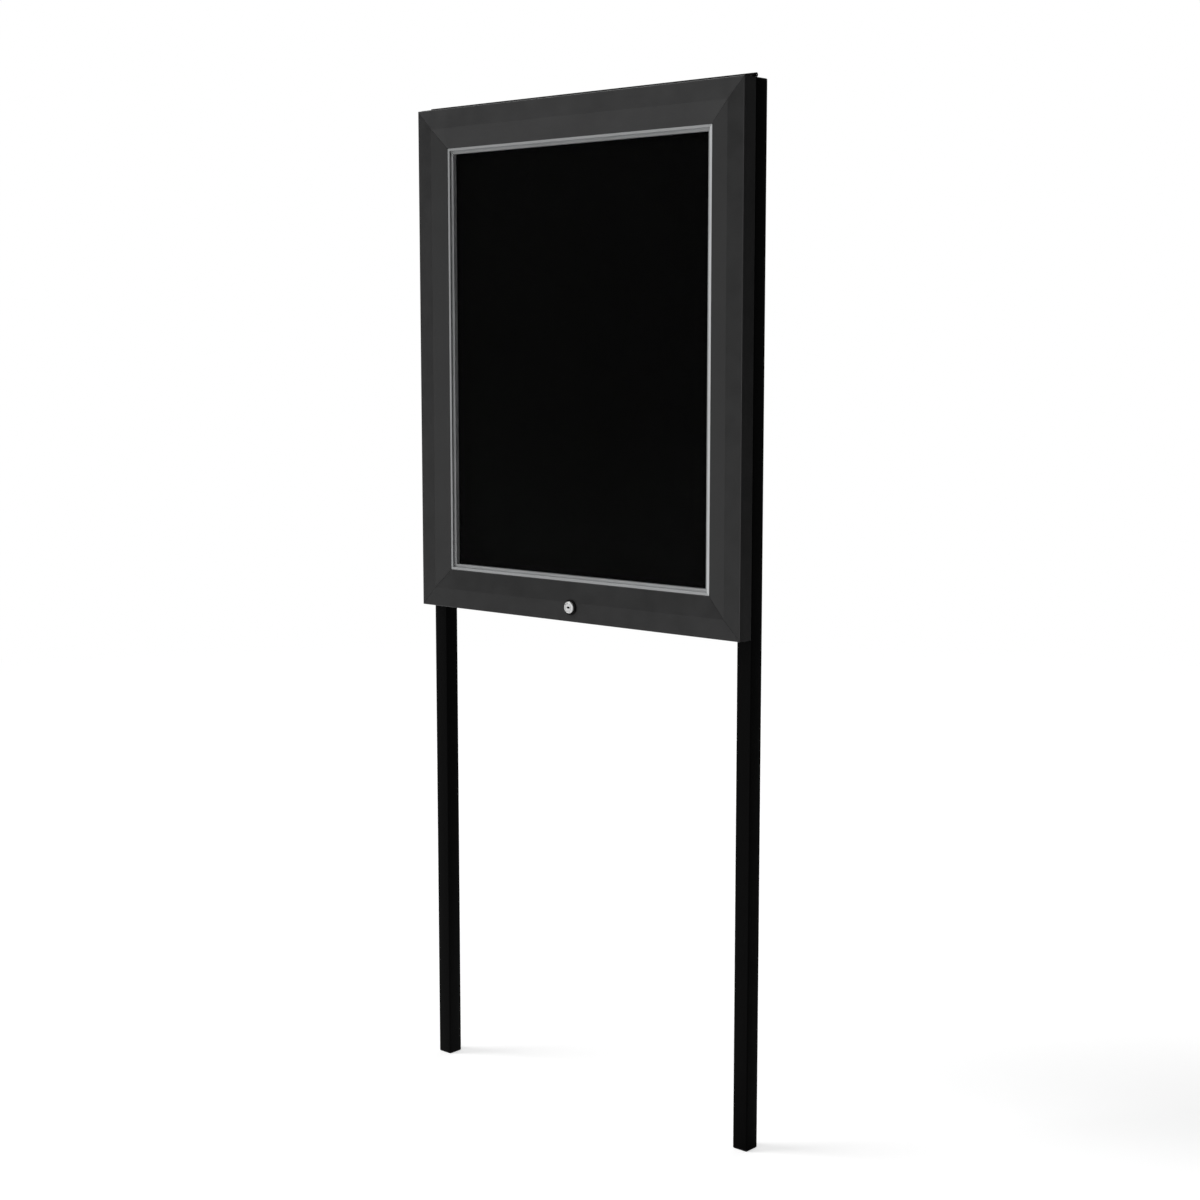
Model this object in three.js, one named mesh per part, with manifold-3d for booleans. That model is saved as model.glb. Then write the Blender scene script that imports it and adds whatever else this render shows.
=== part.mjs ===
// A lockable notice board on two posts: a shallow aluminium case with a top-hung glazed door.
// Millimetres, +Z up, +X to the right seen from the front, the front faces -Y.
// Depths are measured rearwards from the front face of the door, and insets inwards from the outer edge
// of the board. The last lines move the whole assembly so that its origin is the middle of its base.

import * as THREE from 'three';
import { mergeVertices } from 'three/addons/utils/BufferGeometryUtils.js';
import Module from 'manifold-3d';

const wasm = await Module();
wasm.setup();

// Driving dimensions of the board
const openingWidth = 610;
const openingHeight = 762;
const frameFace = 70;
const groundClearance = 875;
const caseDepth = 30;

// Clearances that every piece shares
const seatGap = 0.3;
const mitreGap = 0.2;
const cutOverrun = 4;

// Door frame rails
const doorWall = 1.8;
const doorRearClearance = 0.5;
const flatBand = 34;
const bevelDrop = 5.8;
const outerEdgeRadius = 1.5;
const noseChamfer = 0.7;
const slotRibInset = 17.6;
const slotRibWall = 1.2;
const slotWidth = 12.2;
const slotHookReach = 1.5;
const slotHookWall = 1;
const slotDepth = 3.4;
const beadLegInset = 52.5;
const beadLegWall = 1.5;
const beadLegRise = 8.8;
const beadHookReach = 2;
const beadHookWall = 1.2;

// Glazing and the retainers that hold it
const glazingThickness = 2;
const retainerWall = 1.2;
const retainerReach = 8.7;

// Corner cleats of the door
const cleatThickness = 2.6;
const cleatReach = 52;

// Case rails
const caseSideClearance = 4;
const caseWall = 1.6;
const sealStandoff = 3.4;
const innerRibInset = 64;
const lipReach = 16;
const lipClearance = 0.5;
const revealDepth = 8;
const rearFlangeReach = 82;

// Panels inside the case
const pinBoardThickness = 8;
const backSheetThickness = 1.2;
const cornerBracketInset = 40;
const cornerBracketWidth = 18;
const cornerBracketReach = 110;
const cornerBracketThickness = 2;

// Weather seal round the front edge of the case
const sealLeg = 0.9;
const sealGrip = 3;
const sealTipFlat = 1.6;

// Hinge along the rear top edge
const knuckleRadius = 3.5;
const knuckleCount = 13;
const knuckleGap = 0.4;
const hingeLeafThickness = 1.2;
const hingeDoorLeafWidth = 22;
const hingeCaseLeafHeight = 22;
const hingeEndInset = 2;
const hingePinRadius = 1.5;
const hingePinClearance = 0.15;

// Posts, their caps and the screws that hold the case to them
const postSide = 30;
const postWall = 2;
const postCornerRadius = 2.5;
const capFlange = 3;
const capChamfer = 1.2;
const capPlugDepth = 20;
const capPlugWall = 2;
const capPlugClearance = 0.4;
const screwHeadRadius = 6;
const screwHeadHeight = 4;
const screwHeadChamfer = 1;
const screwShankRadius = 2.75;
const screwHoleClearance = 0.35;
const screwReach = 12;
const screwEndInset = 35;

// Cam lock in the bottom rail
const lockInset = 25.7;
const lockFlangeRadius = 13.3;
const lockFlangeProud = 1.8;
const lockFlangeChamfer = 0.9;
const lockHeadRadius = 10.4;
const lockHeadProud = 5.6;
const lockHeadChamfer = 0.7;
const lockFaceRadius = 8;
const lockFaceRecess = 0.4;
const lockFaceThickness = 2.6;
const lockFaceEdge = 0.5;
const lockRunningClearance = 0.3;
const lockBodyRadius = 9.3;
const lockBodyReach = 20;
const lockPlugRadius = 6;
const lockHoleClearance = 0.3;
const lockNutAcross = 24;
const lockNutThickness = 5;
const keywayWidth = 2.6;
const keywayHeight = 8.5;
const keywayDepth = 10;
const camThickness = 2.4;
const camWidth = 14;
const camHubRadius = 9;
const camReach = 32;
const camTailRadius = 3.6;
const camTailClearance = 0.2;
const camTailTip = 0.8;
const camNutAcross = 11;
const camNutThickness = 3;
const keeperWidth = 32;
const keeperWall = 1.5;
const keeperReach = 16;
const keeperBase = 9;
const keeperCamGap = 1.2;
const keeperScrewRadius = 1.7;
const keeperScrewSpacing = 20;

// Gas struts in the side channels
const strutInset = 26.6;
const strutDepth = 17;
const strutTopInset = 70;
const strutClosedLength = 230;
const strutTubeRadius = 7.5;
const strutTubeWall = 1.4;
const strutExposedRod = 28;
const strutTubeStart = 14;
const strutRodRadius = 3;
const strutRodClearance = 0.3;
const strutGuideLength = 8;
const strutRodInside = 130;
const strutPistonLength = 9;
const strutPistonClearance = 0.4;
const strutEyeRadius = 7;
const strutEyeThickness = 6;
const strutPinRadius = 3;
const strutPinClearance = 0.2;
const strutPinHead = 1.4;
const strutPinHeadRadius = 4.4;
const bracketWall = 2.5;
const bracketBaseThickness = 2;
const bracketBaseWidth = 20;
const bracketBaseLength = 28;

// Roundness of the turned and curved shapes, as a number of facets
const roundFacets = 20;
const barrelFacets = 16;
const cornerFacets = 3;

// Sizes that follow from the driving dimensions
const boardWidth = openingWidth + 2 * frameFace;
const boardHeight = openingHeight + 2 * frameFace;
const boardBottom = groundClearance;
const boardTop = boardBottom + boardHeight;
const boardMiddle = boardBottom + boardHeight / 2;
const doorDepth = caseDepth - doorRearClearance;
const glazingSeat = bevelDrop + doorWall;
const glazingFront = glazingSeat + seatGap;
const glazingBack = glazingFront + glazingThickness;
const retainerFront = glazingBack + seatGap;
const beadLegInner = beadLegInset + beadLegWall;
const beadLegEnd = glazingSeat + beadLegRise;
const retainerBack = beadLegEnd - beadHookWall - seatGap;
const slotPieceInset = slotRibInset + slotRibWall + seatGap;
const slotPieceWidth = slotWidth - 2 * seatGap;
const slotPieceFront = doorWall + seatGap;
const slotRibEnd = doorWall + slotDepth + slotHookWall;
const caseOuterInset = doorWall + caseSideClearance;
const caseWallFront = doorWall + sealStandoff;
const caseLipFront = glazingBack + lipClearance;
const pinBoardFront = caseLipFront + revealDepth + seatGap;
const pinBoardBack = pinBoardFront + pinBoardThickness;
const backSheetFront = pinBoardBack + seatGap;
const backSheetBack = backSheetFront + backSheetThickness;
const rearFlangeFront = backSheetBack + seatGap;
const panelInset = innerRibInset + caseWall + seatGap;
const postFront = caseDepth + seatGap;
const postRear = postFront + postSide;
const postCentreX = boardWidth / 2 - postSide / 2;
const postTubeFoot = capFlange + seatGap;
const postTubeTop = boardTop - capFlange - seatGap;
const postTubeLength = postTubeTop - postTubeFoot;
const hingeAxisDepth = caseDepth + seatGap + knuckleRadius;
const hingeAxisHeight = boardTop + seatGap + knuckleRadius;
const hingeLength = boardWidth - 2 * hingeEndInset;
const lockHeight = boardBottom + lockInset;
const lockFaceProud = lockHeadProud - lockFaceRecess;
const strutTopHeight = boardTop - strutTopInset;
const strutFootHeight = strutTopHeight - strutClosedLength;
const assemblyMiddleDepth = (postRear - lockHeadProud) / 2;

// Materials
function finish(color, roughness, metalness, extra = {}) {
  return new THREE.MeshStandardMaterial({ color, roughness, metalness, ...extra });
}
const anthracite = finish(0x3b3b3d, 0.55, 0.2);
const blackCoat = finish(0x0a0a0a, 0.5, 0.2);
const silver = finish(0xb9bbbd, 0.35, 0.9);
const zincPlate = finish(0x9ea2a6, 0.45, 0.9);
const chrome = finish(0xd8dadc, 0.12, 1);
const blackFelt = finish(0x070707, 0.95, 0);
const rubber = finish(0x111111, 0.85, 0);
const blackPlastic = finish(0x0d0d0d, 0.6, 0);
const clear = finish(0xdfe6e8, 0.08, 0, { transparent: true, opacity: 0.2 });

// Solids: booleans, extrusions and turned shapes
function toSolid(geometry) {
  const bare = geometry.clone();
  bare.deleteAttribute('normal');
  bare.deleteAttribute('uv');
  const welded = mergeVertices(bare);
  const vertProperties = new Float32Array(welded.attributes.position.array);
  const triVerts = new Uint32Array(welded.index.array);
  return new wasm.Manifold(new wasm.Mesh({ numProp: 3, vertProperties, triVerts }));
}

function toGeometry(solid) {
  const mesh = solid.getMesh();
  const geometry = new THREE.BufferGeometry();
  geometry.setAttribute('position', new THREE.BufferAttribute(new Float32Array(mesh.vertProperties), 3));
  geometry.setIndex(new THREE.BufferAttribute(new Uint32Array(mesh.triVerts), 1));
  return geometry;
}

function join(...geometries) {
  return toGeometry(geometries.map(toSolid).reduce((whole, next) => whole.add(next)));
}

function cut(geometry, ...tools) {
  return toGeometry(tools.map(toSolid).reduce((whole, tool) => whole.subtract(tool), toSolid(geometry)));
}

function outline(points) {
  return new THREE.Shape(points.map(([a, b]) => new THREE.Vector2(a, b)));
}

function rectangle(a0, b0, a1, b1) {
  return outline([[a0, b0], [a1, b0], [a1, b1], [a0, b1]]);
}

function circle(radius, a = 0, b = 0, Kind = THREE.Shape) {
  const round = new Kind();
  round.absarc(a, b, radius, 0, 2 * Math.PI, false);
  return round;
}

function prism(shape, depth, curveSegments = cornerFacets) {
  return new THREE.ExtrudeGeometry(shape, { depth, bevelEnabled: false, curveSegments });
}

// A plate whose outline lies in the plane of the board, between two depths
function plate(shape, front, back, curveSegments) {
  return prism(shape, back - front, curveSegments).rotateX(Math.PI / 2).translate(0, back, 0);
}

// A bar along X whose section is drawn as [depth, height]
function alongX(shape, from, to, curveSegments) {
  const lying = prism(shape, to - from, curveSegments).rotateX(Math.PI / 2).rotateZ(Math.PI / 2);
  return lying.translate(from, 0, 0);
}

// A piece that was turned or drawn along Y, stood up along Z
function upright(geometry) {
  return geometry.rotateX(Math.PI / 2);
}

// A slab between two corners, given as [x, depth, z].
function slab(low, high) {
  const size = high.map((value, i) => value - low[i]);
  const centre = high.map((value, i) => (value + low[i]) / 2);
  return new THREE.BoxGeometry(...size).translate(...centre);
}

// A round bar along Y from one depth to another.
function bar(radius, from, to, facets = roundFacets) {
  return new THREE.CylinderGeometry(radius, radius, to - from, facets).translate(0, (from + to) / 2, 0);
}

// A turned shape about Y from a list of [radius, depth].
function turned(profile, facets = roundFacets) {
  return new THREE.LatheGeometry(profile.map(([r, y]) => new THREE.Vector2(r, y)), facets);
}

function hexagonBar(across, from, to) {
  const hexagonSides = 6;
  return bar(across / 2 / Math.cos(Math.PI / hexagonSides), from, to, hexagonSides);
}

function roundedSquare(side, radius, Kind = THREE.Shape) {
  const half = side / 2;
  const square = new Kind();
  square.moveTo(half, radius - half);
  square.absarc(half - radius, half - radius, radius, 0, Math.PI / 2, false);
  square.absarc(radius - half, half - radius, radius, Math.PI / 2, Math.PI, false);
  square.absarc(radius - half, radius - half, radius, Math.PI, 1.5 * Math.PI, false);
  square.absarc(half - radius, radius - half, radius, 1.5 * Math.PI, 2 * Math.PI, false);
  square.closePath();
  return square;
}

// A rail whose section is drawn as [inset, depth] and whose ends are mitred at 45 degrees.
// It comes out as the bottom rail of a frame: +Z points inwards, its outer edge lies at z = 0.
function mitredRail(section, length) {
  const rail = prism(section, length);
  const points = rail.attributes.position;
  for (let i = 0; i < points.count; i++) {
    const cutBack = points.getX(i) + mitreGap;
    const along = points.getZ(i) < length / 2 ? cutBack : length - cutBack;
    points.setZ(i, along - length / 2);
  }
  return rail.rotateY(-Math.PI / 2);
}

// The assembly and the way pieces are added to it
const board = new THREE.Group();
board.name = 'notice_board';

function add(group, name, geometry, material) {
  const mesh = new THREE.Mesh(geometry, material);
  mesh.name = name;
  group.add(mesh);
  return mesh;
}

// The four sides of the board, each turned so that +Z of its pieces points inwards.
const sides = [
  { side: 'top', turn: Math.PI, x: 0, z: boardTop, length: boardWidth },
  { side: 'bottom', turn: 0, x: 0, z: boardBottom, length: boardWidth },
  { side: 'left', turn: Math.PI / 2, x: -boardWidth / 2, z: boardMiddle, length: boardHeight },
  { side: 'right', turn: -Math.PI / 2, x: boardWidth / 2, z: boardMiddle, length: boardHeight },
];

function addFrame(group, nameOf, geometryOf, material) {
  for (const each of sides) {
    const rail = add(group, nameOf(each.side), geometryOf(each), material);
    rail.position.set(each.x, 0, each.z);
    rail.rotation.y = each.turn;
  }
}

// The four corners: the signs of x and z, and the turn that points an L-shaped plate inwards
const corners = [
  { corner: 'top_left', x: -1, z: 1, turn: Math.PI / 2 },
  { corner: 'top_right', x: 1, z: 1, turn: Math.PI },
  { corner: 'bottom_left', x: -1, z: -1, turn: 0 },
  { corner: 'bottom_right', x: 1, z: -1, turn: 1.5 * Math.PI },
];

// An L-shaped plate at each corner: its outer sides lie at one inset, and its arms reach to another.
function addCornerPlates(group, nameOf, { inset, width, reach, front, thickness }, material) {
  const shape = outline([
    [inset, inset],
    [reach, inset],
    [reach, inset + width],
    [inset + width, inset + width],
    [inset + width, reach],
    [inset, reach],
  ]);
  for (const each of corners) {
    const piece = add(group, nameOf(each.corner), plate(shape, front, front + thickness), material);
    piece.position.set(each.x * boardWidth / 2, 0, boardMiddle + each.z * boardHeight / 2);
    piece.rotation.y = each.turn;
  }
}

const leftAndRight = [
  { side: 'left', sign: -1 },
  { side: 'right', sign: 1 },
];

// Door frame rails: a skirt, a flat band and a bevel, a slot for the cleats and a leg for the glazing bead
function doorRailSection() {
  const bevelSlope = bevelDrop / (frameFace - flatBand);
  const bevelBack = (inset) => doorWall + (inset - flatBand) * bevelSlope;
  const ribA = slotRibInset;
  const ribB = slotRibInset + slotRibWall + slotWidth;
  const hookFront = slotRibEnd - slotHookWall;
  const beadHookFront = beadLegEnd - beadHookWall;
  const section = new THREE.Shape();
  section.moveTo(0, doorDepth);
  section.lineTo(0, outerEdgeRadius);
  section.absarc(outerEdgeRadius, outerEdgeRadius, outerEdgeRadius, Math.PI, 1.5 * Math.PI, false);
  section.lineTo(flatBand, 0);
  section.lineTo(frameFace - noseChamfer, bevelDrop - noseChamfer * bevelSlope);
  section.lineTo(frameFace, bevelDrop + noseChamfer);
  section.lineTo(frameFace, glazingSeat);
  section.lineTo(beadLegInner, glazingSeat);
  section.lineTo(beadLegInner, beadHookFront);
  section.lineTo(beadLegInner + beadHookReach, beadHookFront);
  section.lineTo(beadLegInner + beadHookReach, beadLegEnd);
  section.lineTo(beadLegInset, beadLegEnd);
  section.lineTo(beadLegInset, bevelBack(beadLegInset));
  section.lineTo(flatBand, doorWall);
  section.lineTo(ribB + slotRibWall, doorWall);
  section.lineTo(ribB + slotRibWall, slotRibEnd);
  section.lineTo(ribB - slotHookReach, slotRibEnd);
  section.lineTo(ribB - slotHookReach, hookFront);
  section.lineTo(ribB, hookFront);
  section.lineTo(ribB, doorWall);
  section.lineTo(ribA + slotRibWall, doorWall);
  section.lineTo(ribA + slotRibWall, hookFront);
  section.lineTo(ribA + slotRibWall + slotHookReach, hookFront);
  section.lineTo(ribA + slotRibWall + slotHookReach, slotRibEnd);
  section.lineTo(ribA, slotRibEnd);
  section.lineTo(ribA, doorWall);
  section.lineTo(doorWall, doorWall);
  section.lineTo(doorWall, doorDepth);
  section.closePath();
  return section;
}

function doorRail({ side, length }) {
  const rail = mitredRail(doorRailSection(), length);
  if (side !== 'bottom') {
    return rail;
  }
  const lockHole = bar(lockBodyRadius + lockHoleClearance, -cutOverrun, slotRibEnd + cutOverrun);
  return cut(rail, lockHole.translate(0, 0, lockInset));
}

const door = new THREE.Group();
addFrame(door, (side) => (side === 'top' || side === 'bottom' ? `door_${side}_rail` : `door_${side}_stile`),
  doorRail, anthracite);

// Corner cleats, pushed into the slots of two rails behind each mitre
addCornerPlates(door, (corner) => `door_corner_cleat_${corner}`, {
  inset: slotPieceInset,
  width: slotPieceWidth,
  reach: cleatReach,
  front: slotPieceFront,
  thickness: cleatThickness,
}, zincPlate);

// Glazing, with its edges behind the bevel, and the bead that snaps in behind it on each side
const glazingInset = beadLegInner + seatGap;
add(door, 'glazing', slab(
  [glazingInset - boardWidth / 2, glazingFront, boardBottom + glazingInset],
  [boardWidth / 2 - glazingInset, glazingBack, boardTop - glazingInset],
), clear);

const retainerSection = outline([
  [glazingInset, retainerFront],
  [glazingInset + retainerReach, retainerFront],
  [glazingInset + retainerReach, retainerFront + retainerWall],
  [glazingInset + retainerWall, retainerFront + retainerWall],
  [glazingInset + retainerWall, retainerBack],
  [glazingInset, retainerBack],
]);
addFrame(door, (side) => `glazing_retainer_${side}`,
  ({ length }) => mitredRail(retainerSection, length), silver);

// Lock housing through the bottom rail, held by its nut against the slot ribs
const lock = new THREE.Group();
lock.position.set(0, 0, lockHeight);
const lockBore = lockPlugRadius + lockRunningClearance;
const lockRecessRadius = lockFaceRadius + lockRunningClearance;
const lockFaceBack = lockFaceThickness - lockFaceProud;
const lockRecessFloor = lockFaceBack + lockRunningClearance;
const lockHousing = turned([
  [lockBore, lockRecessFloor],
  [lockRecessRadius, lockRecessFloor],
  [lockRecessRadius, -lockHeadProud],
  [lockHeadRadius - lockHeadChamfer, -lockHeadProud],
  [lockHeadRadius, lockHeadChamfer - lockHeadProud],
  [lockHeadRadius, -lockFlangeProud],
  [lockFlangeRadius - lockFlangeChamfer, -lockFlangeProud],
  [lockFlangeRadius, lockFlangeChamfer - lockFlangeProud],
  [lockFlangeRadius, -seatGap],
  [lockBodyRadius, -seatGap],
  [lockBodyRadius, lockBodyReach],
  [lockBore, lockBodyReach],
  [lockBore, lockRecessFloor],
]);
add(lock, 'lock_housing', lockHousing, chrome);

const lockNutFront = slotRibEnd + seatGap;
const lockNutBack = lockNutFront + lockNutThickness;
add(lock, 'lock_nut', cut(
  hexagonBar(lockNutAcross, lockNutFront, lockNutBack),
  bar(lockBodyRadius + lockHoleClearance, lockNutFront - cutOverrun, lockNutBack + cutOverrun),
), zincPlate);

// Lock plug with its keyway, and the cam and nut on its tail. At rest the cam lies along +X, unlocked.
const camFront = lockBodyReach + seatGap;
const camBack = camFront + camThickness;
const camNutFront = camBack + seatGap;
const camNutBack = camNutFront + camNutThickness;
const lockPlug = turned([
  [0, -lockFaceProud],
  [lockFaceRadius - lockFaceEdge, -lockFaceProud],
  [lockFaceRadius, lockFaceEdge - lockFaceProud],
  [lockFaceRadius, lockFaceBack],
  [lockPlugRadius, lockFaceBack],
  [lockPlugRadius, lockBodyReach],
  [camTailRadius, lockBodyReach],
  [camTailRadius, camNutBack],
  [0, camNutBack + camTailTip],
]);
const keyway = slab(
  [-keywayWidth / 2, -lockFaceProud - cutOverrun, -keywayHeight / 2],
  [keywayWidth / 2, keywayDepth - lockFaceProud, keywayHeight / 2],
);
add(lock, 'lock_plug', cut(lockPlug, keyway), chrome);

const camHole = circle(camTailRadius + camTailClearance, 0, 0, THREE.Path);
const camTip = camReach - camWidth / 2;
const camShape = new THREE.Shape();
const camShoulder = Math.asin(camWidth / 2 / camHubRadius);
camShape.absarc(0, 0, camHubRadius, camShoulder, 2 * Math.PI - camShoulder, false);
camShape.absarc(camTip, 0, camWidth / 2, -Math.PI / 2, Math.PI / 2, false);
camShape.closePath();
camShape.holes.push(camHole);
add(lock, 'lock_cam', plate(camShape, camFront, camBack, roundFacets / 2), zincPlate);
add(lock, 'lock_cam_nut', cut(
  hexagonBar(camNutAcross, camNutFront, camNutBack),
  bar(camTailRadius + camTailClearance, camNutFront - cutOverrun, camNutBack + cutOverrun),
), zincPlate);
door.add(lock);

// Case rails: an outer wall inside the door skirt, a rear flange, and a box with the lip and the reveal
const casing = new THREE.Group();
const lipInset = innerRibInset + lipReach;
const revealEnd = caseLipFront + revealDepth;
const caseSection = outline([
  [caseOuterInset, caseWallFront],
  [caseOuterInset + caseWall, caseWallFront],
  [caseOuterInset + caseWall, rearFlangeFront],
  [innerRibInset, rearFlangeFront],
  [innerRibInset, caseLipFront],
  [lipInset, caseLipFront],
  [lipInset, revealEnd],
  [lipInset - caseWall, revealEnd],
  [lipInset - caseWall, caseLipFront + caseWall],
  [innerRibInset + caseWall, caseLipFront + caseWall],
  [innerRibInset + caseWall, rearFlangeFront],
  [rearFlangeReach, rearFlangeFront],
  [rearFlangeReach, caseDepth],
  [caseOuterInset, caseDepth],
]);

// Heights of the screws through each side of the case into its post, from the middle of the board
const screwOffsets = [-1, 0, 1].map((place) => place * (boardHeight / 2 - screwEndInset));
const screwHoleRadius = screwShankRadius + screwHoleClearance;

function caseRail({ side, length }) {
  const rail = mitredRail(caseSection, length);
  if (side === 'top' || side === 'bottom') {
    return rail;
  }
  const holes = screwOffsets.map((offset) => {
    const hole = bar(screwHoleRadius, rearFlangeFront - cutOverrun, caseDepth + cutOverrun);
    return hole.translate(offset, 0, postSide / 2);
  });
  return cut(rail, ...holes);
}
addFrame(casing, (side) => `case_${side}_rail`, caseRail, silver);

addCornerPlates(casing, (corner) => `case_corner_bracket_${corner}`, {
  inset: cornerBracketInset,
  width: cornerBracketWidth,
  reach: cornerBracketReach,
  front: rearFlangeFront - seatGap - cornerBracketThickness,
  thickness: cornerBracketThickness,
}, zincPlate);

// Display panel and the sheet that closes the back, both held in the groove behind the reveal
function panel(front, back) {
  return slab(
    [panelInset - boardWidth / 2, front, boardBottom + panelInset],
    [boardWidth / 2 - panelInset, back, boardTop - panelInset],
  );
}
add(casing, 'pin_board', panel(pinBoardFront, pinBoardBack), blackFelt);
add(casing, 'back_sheet', panel(backSheetFront, backSheetBack), zincPlate);

// Weather seal, pushed onto the front edge of the outer wall
const sealOuter = caseOuterInset - seatGap - sealLeg;
const sealInner = caseOuterInset + caseWall + seatGap + sealLeg;
const sealCrown = (sealOuter + sealInner) / 2;
const sealTip = doorWall + seatGap;
const sealEnd = caseWallFront + sealGrip;
const sealShoulder = (sealTip + caseWallFront) / 2;
const sealSection = outline([
  [sealOuter, sealEnd],
  [sealOuter, sealShoulder],
  [sealCrown - sealTipFlat / 2, sealTip],
  [sealCrown + sealTipFlat / 2, sealTip],
  [sealInner, sealShoulder],
  [sealInner, sealEnd],
  [sealInner - sealLeg, sealEnd],
  [sealInner - sealLeg, caseWallFront - seatGap],
  [sealOuter + sealLeg, caseWallFront - seatGap],
  [sealOuter + sealLeg, sealEnd],
]);
addFrame(casing, (side) => `weather_seal_${side}`,
  ({ length }) => mitredRail(sealSection, length), rubber);

// Keeper for the cam, on the inner box of the bottom rail
const keeperFront = camFront - keeperCamGap - keeperWall;
const keeperTop = boardBottom + innerRibInset - seatGap;
const keeperSection = outline([
  [keeperFront, keeperTop - keeperReach],
  [keeperFront + keeperWall, keeperTop - keeperReach],
  [keeperFront + keeperWall, keeperTop - keeperWall],
  [keeperFront + keeperBase, keeperTop - keeperWall],
  [keeperFront + keeperBase, keeperTop],
  [keeperFront, keeperTop],
]);
const keeperScrewDepth = keeperFront + (keeperWall + keeperBase) / 2;
const keeperHoles = [-1, 1].map((place) => {
  const hole = upright(bar(keeperScrewRadius, -cutOverrun, cutOverrun, barrelFacets));
  return hole.translate(place * keeperScrewSpacing / 2, keeperScrewDepth, keeperTop - keeperWall / 2);
});
const keeperBar = alongX(keeperSection, -keeperWidth / 2, keeperWidth / 2);
add(casing, 'lock_keeper', cut(keeperBar, ...keeperHoles), zincPlate);

// Hinge along the rear top edge: one leaf lies on the door, the other goes down the back of the case
const knucklePitch = hingeLength / knuckleCount;
const knuckleBore = hingePinRadius + hingePinClearance;

function knuckle(index, tab) {
  const barrel = circle(knuckleRadius, hingeAxisDepth, hingeAxisHeight);
  barrel.holes.push(circle(knuckleBore, hingeAxisDepth, hingeAxisHeight, THREE.Path));
  const from = index * knucklePitch - hingeLength / 2 + knuckleGap / 2;
  const to = from + knucklePitch - knuckleGap;
  const bore = circle(knuckleBore, hingeAxisDepth, hingeAxisHeight);
  const ring = alongX(barrel, from, to, barrelFacets);
  const boreTool = alongX(bore, from - cutOverrun, to + cutOverrun, barrelFacets);
  return cut(join(ring, alongX(tab, from, to)), boreTool);
}

function hingeLeaf(plateGeometry, tab, firstKnuckle) {
  const own = [];
  for (let index = firstKnuckle; index < knuckleCount; index += 2) {
    own.push(knuckle(index, tab));
  }
  return join(plateGeometry, ...own);
}

const leafBase = boardTop + seatGap;
const leafCrown = leafBase + hingeLeafThickness;
const doorLeafPlate = slab(
  [-hingeLength / 2, caseDepth - hingeDoorLeafWidth, leafBase],
  [hingeLength / 2, caseDepth, leafCrown],
);
const doorLeafTab = rectangle(caseDepth - hingeLeafThickness, leafBase, hingeAxisDepth, leafCrown);
add(door, 'hinge_door_leaf', hingeLeaf(doorLeafPlate, doorLeafTab, 0), blackCoat);

const caseLeafHalf = boardWidth / 2 - postSide - seatGap;
const caseLeafBack = postFront + hingeLeafThickness;
const caseLeafPlate = slab(
  [-caseLeafHalf, postFront, boardTop - hingeCaseLeafHeight],
  [caseLeafHalf, caseLeafBack, boardTop],
);
const caseLeafTab = rectangle(postFront, boardTop - hingeLeafThickness, caseLeafBack, hingeAxisHeight);
add(casing, 'hinge_case_leaf', hingeLeaf(caseLeafPlate, caseLeafTab, 1), blackCoat);

const hingePin = new THREE.CylinderGeometry(hingePinRadius, hingePinRadius, hingeLength, barrelFacets);
const pin = add(casing, 'hinge_pin', hingePin.rotateZ(Math.PI / 2), zincPlate);
pin.position.set(0, hingeAxisDepth, hingeAxisHeight);

// Gas struts. Each stands in its side channel, on a stud of the case bracket, and its rod ends beside
// the ear of the door bracket.
const strutEarInner = strutInset - strutEyeThickness / 2 - seatGap;
const strutEarOuter = strutEarInner - bracketWall;
const strutStudEnd = strutInset + strutEyeThickness / 2 + seatGap + strutPinHead;

function insetX(sign, inset) {
  return sign * (boardWidth / 2 - inset);
}

// A bar along X between two insets from the left or right edge of the board
function across(sign, shape, insetA, insetB, curveSegments) {
  const ends = [insetX(sign, insetA), insetX(sign, insetB)].sort((a, b) => a - b);
  return alongX(shape, ends[0], ends[1], curveSegments);
}

// An ear that ends in a round eye at the strut's depth and reaches to its base plate
function earShape(height, baseDepth) {
  const towardsFront = baseDepth > strutDepth;
  const ear = new THREE.Shape();
  const start = towardsFront ? Math.PI / 2 : -Math.PI / 2;
  ear.absarc(strutDepth, height, strutEyeRadius, start, start + Math.PI, false);
  const last = towardsFront ? -1 : 1;
  ear.lineTo(baseDepth, height + last * strutEyeRadius);
  ear.lineTo(baseDepth, height - last * strutEyeRadius);
  ear.closePath();
  return ear;
}

function doorStrutBracket(sign) {
  const slotInsets = [slotPieceInset, slotPieceInset + slotPieceWidth];
  const edges = slotInsets.map((inset) => insetX(sign, inset)).sort((a, b) => a - b);
  const base = slab(
    [edges[0], slotPieceFront, strutTopHeight - bracketBaseLength / 2],
    [edges[1], slotPieceFront + cleatThickness, strutTopHeight + bracketBaseLength / 2],
  );
  const shape = earShape(strutTopHeight, slotPieceFront);
  return join(base, across(sign, shape, strutEarOuter, strutEarInner, roundFacets / 2));
}

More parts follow.
